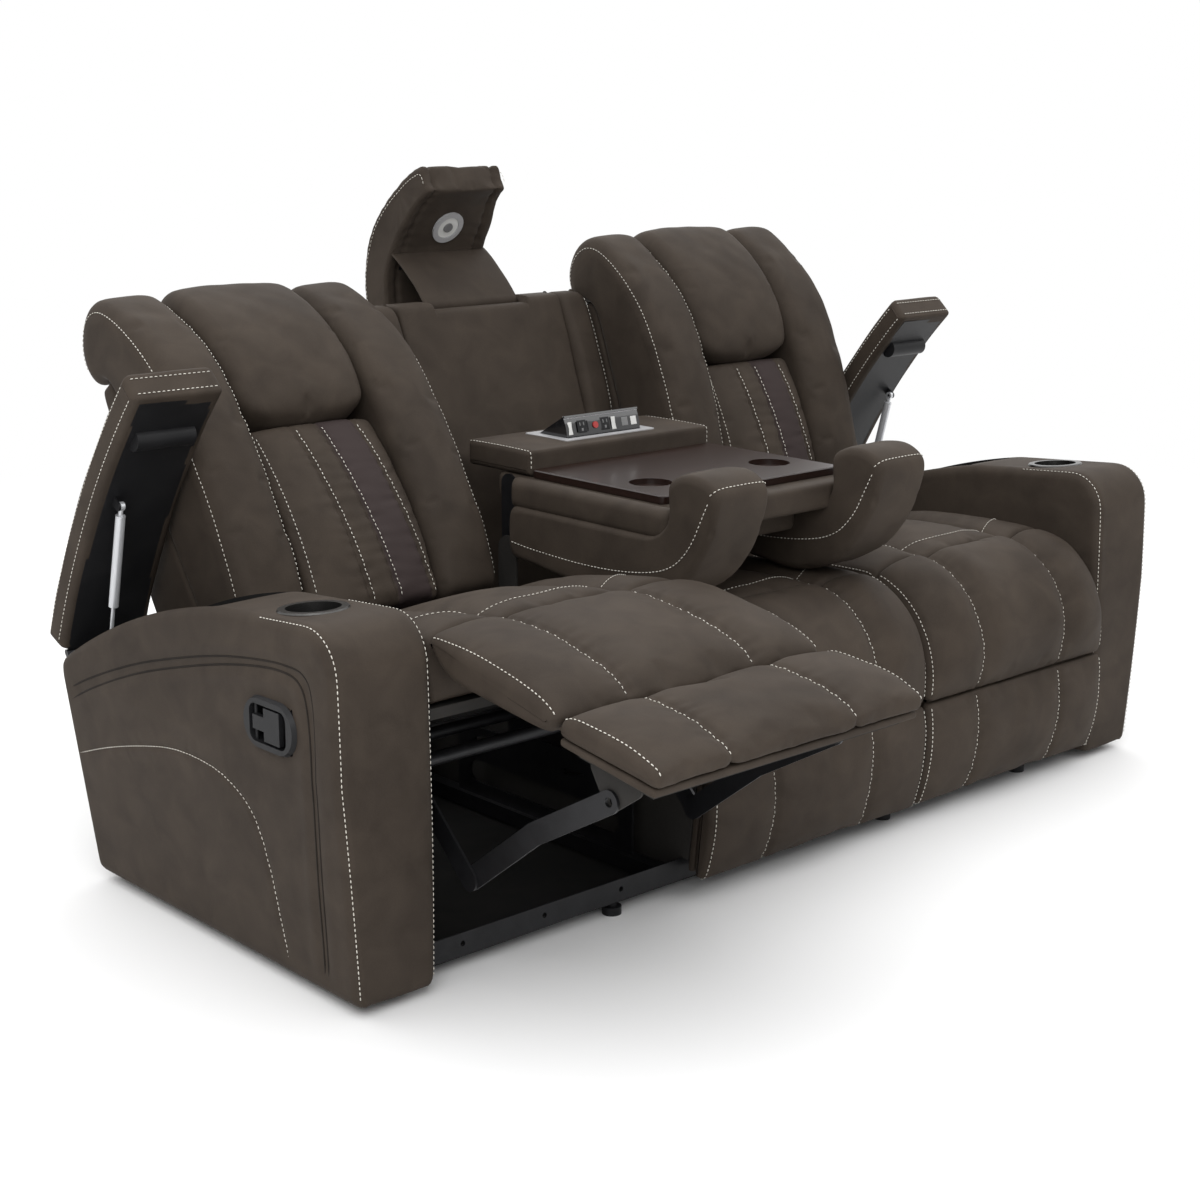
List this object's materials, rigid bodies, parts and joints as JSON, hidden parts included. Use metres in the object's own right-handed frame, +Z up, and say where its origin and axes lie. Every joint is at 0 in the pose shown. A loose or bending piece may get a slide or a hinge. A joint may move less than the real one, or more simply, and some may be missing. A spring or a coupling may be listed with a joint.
{
  "type": "reclining sofa",
  "caption": "Reclining sofa with storage arms, lidded bins, sliding recliner seats with folding footrests, a fold-down centre console with tray and power unit, and a flip-up headrest",
  "frame": {"origin": "middle of the overall box in plan at rest, on the floor", "axes": "+X to the viewer's right from the front, +Y to the rear, +Z up"},
  "size_m": [2.226, 1.7456, 1.301],
  "materials": {
    "upholstery": "soft matt",
    "black_steel": "satin",
    "board": "bare",
    "black_plastic": "matt",
    "bright_steel": "brushed",
    "strut_steel": "satin",
    "chrome_tube": "polished",
    "walnut": "satin lacquer",
    "gloss_black": "gloss",
    "red_button": "matt"
  },
  "bodies": {
    "frame": {"base_rails": "black_steel", "cross_rails": "black_steel", "base_plates": "black_steel", "feet": "black_plastic", "left_arm": "upholstery", "right_arm": "upholstery", "cup_holders": "bright_steel", "lever_bezels": "black_plastic", "lid_hinges": "black_steel", "centre_seat_cushion": "upholstery", "centre_seat_deck": "board", "centre_front_pads": "upholstery", "centre_back_panel": "upholstery", "headrest_tube": "chrome_tube"},
    "console": {"console_core": "upholstery", "console_bolsters": "upholstery", "console_arms": "black_steel", "console_tray": "walnut", "power_block": "upholstery", "power_bezel": "bright_steel"},
    "power_flap": {"power_flap": "gloss_black"},
    "reset_button": {"reset_button": "red_button"},
    "headrest": {"headrest_pad": "upholstery", "headrest_bracket": "black_steel", "light_ring": "bright_steel"},
    "light_button": {"light_button": "gloss_black"},
    "left_lid": {"left_lid_pad": "upholstery", "left_lid_board": "black_plastic"},
    "left_strut": {"left_strut_cylinder": "strut_steel"},
    "left_strut_rod": {"left_strut_rod": "strut_steel"},
    "left_lever": {"left_lever": "black_plastic"},
    "left_carriage": {"left_seat_frame": "black_steel"},
    "left_seat": {"left_seat_pan": "board", "left_seat_cushion": "upholstery"},
    "left_back": {"left_back_frame": "upholstery", "left_back_bolsters": "upholstery", "left_back_lumbar": "upholstery", "left_back_pillow": "upholstery"},
    "left_thigh": {"left_thigh_pad": "upholstery"},
    "left_footrest": {"left_footrest_pad": "upholstery", "left_footrest_board": "board"},
    "left_drive": {"left_drive_links": "black_steel"},
    "left_lift": {"left_lift_links": "black_steel"},
    "right_lid": {"right_lid_pad": "upholstery", "right_lid_board": "black_plastic"},
    "right_strut": {"right_strut_cylinder": "strut_steel"},
    "right_strut_rod": {"right_strut_rod": "strut_steel"},
    "right_lever": {"right_lever": "black_plastic"},
    "right_carriage": {"right_seat_frame": "black_steel"},
    "right_seat": {"right_seat_pan": "board", "right_seat_cushion": "upholstery"},
    "right_back": {"right_back_frame": "upholstery", "right_back_bolsters": "upholstery", "right_back_lumbar": "upholstery", "right_back_pillow": "upholstery"},
    "right_thigh": {"right_thigh_pad": "upholstery"},
    "right_footrest": {"right_footrest_pad": "upholstery", "right_footrest_board": "board"},
    "right_drive": {"right_drive_links": "black_steel"},
    "right_lift": {"right_lift_links": "black_steel"}
  },
  "joints": [
    {"name": "left_lid_hinge", "type": "hinge", "parent": "frame", "child": "left_lid", "pos_m": [-1.01, 0.53002, 0.43519], "axis": [1, 0, 0], "range_deg": [0, 38]},
    {"name": "left_strut_swing", "type": "hinge", "parent": "left_lid", "child": "left_strut", "pos_m": [-1.055, 0.34752, 0.73581], "axis": [1, 0, 0], "range_deg": [0, 2.15]},
    {"name": "left_strut_slide", "type": "slide", "parent": "left_strut", "child": "left_strut_rod", "axis": [0, -0.2445, 0.9697], "range_m": [0, 0.06776]},
    {"name": "left_lever_pull", "type": "hinge", "parent": "frame", "child": "left_lever", "pos_m": [-1.105, -0.1468, 0.464], "axis": [0, 0, -1], "range_deg": [0, 25], "stiffness_Nm_per_rad": 0.6},
    {"name": "left_glide", "type": "slide", "parent": "frame", "child": "left_carriage", "axis": [0, -0.9776, 0.2106], "range_m": [-0.13298, 0]},
    {"name": "left_seat_tilt", "type": "hinge", "parent": "left_carriage", "child": "left_seat", "pos_m": [-0.6125, 0.0642, 0.353], "axis": [1, 0, 0], "range_deg": [0, 9.04]},
    {"name": "left_thigh_swing", "type": "hinge", "parent": "left_seat", "child": "left_thigh", "pos_m": [-0.6125, -0.33561, 0.59857], "axis": [1, 0, 0], "range_deg": [0, 38.19]},
    {"name": "left_footrest_unfold", "type": "hinge", "parent": "left_thigh", "child": "left_footrest", "pos_m": [-0.6125, -0.66012, 0.53893], "axis": [1, 0, 0], "range_deg": [0, 39.2]},
    {"name": "left_drive_turn", "type": "hinge", "parent": "left_carriage", "child": "left_drive", "pos_m": [-0.6125, -0.2338, 0.356], "axis": [1, 0, 0], "range_deg": [0, 105.67]},
    {"name": "left_lift_turn", "type": "hinge", "parent": "left_drive", "child": "left_lift", "pos_m": [-0.6125, -0.39812, 0.20053], "axis": [1, 0, 0], "range_deg": [-63.12, 0]},
    {"name": "left_recline", "type": "hinge", "parent": "left_carriage", "child": "left_back", "pos_m": [-0.6125, 0.1742, 0.418], "axis": [-1, 0, 0], "range_deg": [-15, 11.5]},
    {"name": "right_lid_hinge", "type": "hinge", "parent": "frame", "child": "right_lid", "pos_m": [1.01, 0.53002, 0.43519], "axis": [1, 0, 0], "range_deg": [0, 38]},
    {"name": "right_strut_swing", "type": "hinge", "parent": "right_lid", "child": "right_strut", "pos_m": [1.055, 0.34752, 0.73581], "axis": [1, 0, 0], "range_deg": [0, 2.15]},
    {"name": "right_strut_slide", "type": "slide", "parent": "right_strut", "child": "right_strut_rod", "axis": [0, -0.2445, 0.9697], "range_m": [0, 0.06776]},
    {"name": "right_lever_pull", "type": "hinge", "parent": "frame", "child": "right_lever", "pos_m": [1.105, -0.1468, 0.464], "axis": [0, 0, 1], "range_deg": [0, 25], "stiffness_Nm_per_rad": 0.6},
    {"name": "right_glide", "type": "slide", "parent": "frame", "child": "right_carriage", "axis": [0, -0.9776, 0.2106], "range_m": [0, 0.13298]},
    {"name": "right_seat_tilt", "type": "hinge", "parent": "right_carriage", "child": "right_seat", "pos_m": [0.6125, 0.1942, 0.325], "axis": [1, 0, 0], "range_deg": [-9.04, 0]},
    {"name": "right_thigh_swing", "type": "hinge", "parent": "right_seat", "child": "right_thigh", "pos_m": [0.6125, -0.2391, 0.505], "axis": [1, 0, 0], "range_deg": [-38.19, 0]},
    {"name": "right_footrest_unfold", "type": "hinge", "parent": "right_thigh", "child": "right_footrest", "pos_m": [0.6125, -0.3938, 0.262], "axis": [1, 0, 0], "range_deg": [-39.2, 0]},
    {"name": "right_drive_turn", "type": "hinge", "parent": "right_carriage", "child": "right_drive", "pos_m": [0.6125, -0.1038, 0.328], "axis": [1, 0, 0], "range_deg": [-108.81, 0]},
    {"name": "right_lift_turn", "type": "hinge", "parent": "right_drive", "child": "right_lift", "pos_m": [0.6125, 0.0892, 0.21], "axis": [1, 0, 0], "range_deg": [0, 63]},
    {"name": "right_recline", "type": "hinge", "parent": "right_carriage", "child": "right_back", "pos_m": [0.6125, 0.3042, 0.39], "axis": [-1, 0, 0], "range_deg": [0, 26.5]},
    {"name": "console_fold", "type": "hinge", "parent": "frame", "child": "console", "pos_m": [0, 0.2342, 0.56], "axis": [-1, 0, 0], "range_deg": [0, 106]},
    {"name": "power_flap_hinge", "type": "hinge", "parent": "console", "child": "power_flap", "pos_m": [0, 0.3162, 0.765], "axis": [1, 0, 0], "range_deg": [0, 30]},
    {"name": "headrest_flip", "type": "hinge", "parent": "frame", "child": "headrest", "pos_m": [0, 0.6822, 1], "axis": [1, 0, 0], "range_deg": [0, 88]},
    {"name": "reset_press", "type": "slide", "parent": "power_flap", "child": "reset_button", "axis": [0, 0.9623, -0.272], "range_m": [0, 0.002], "stiffness_N_per_m": 400},
    {"name": "light_press", "type": "slide", "parent": "headrest", "child": "light_button", "axis": [0, 0.8353, 0.5498], "range_m": [0, 0.002], "stiffness_N_per_m": 400}
  ],
  "couplings": [
    {"joint": "left_strut_swing", "follows": "left_lid_hinge", "ratio": 0.05553},
    {"joint": "left_strut_slide", "follows": "left_lid_hinge", "m_per_rad": 0.10165},
    {"joint": "left_seat_tilt", "follows": "left_glide", "rad_per_m": -1.1812},
    {"joint": "left_thigh_swing", "follows": "left_glide", "rad_per_m": -4.9874},
    {"joint": "left_footrest_unfold", "follows": "left_glide", "rad_per_m": -5.1186},
    {"joint": "left_drive_turn", "follows": "left_glide", "rad_per_m": -13.8},
    {"joint": "left_lift_turn", "follows": "left_glide", "rad_per_m": 8.2434},
    {"joint": "right_strut_swing", "follows": "right_lid_hinge", "ratio": 0.05553},
    {"joint": "right_strut_slide", "follows": "right_lid_hinge", "m_per_rad": 0.10165},
    {"joint": "right_seat_tilt", "follows": "right_glide", "rad_per_m": -1.1812},
    {"joint": "right_thigh_swing", "follows": "right_glide", "rad_per_m": -4.9874},
    {"joint": "right_footrest_unfold", "follows": "right_glide", "rad_per_m": -5.1186},
    {"joint": "right_drive_turn", "follows": "right_glide", "rad_per_m": -14.21},
    {"joint": "right_lift_turn", "follows": "right_glide", "rad_per_m": 8.2278}
  ]
}
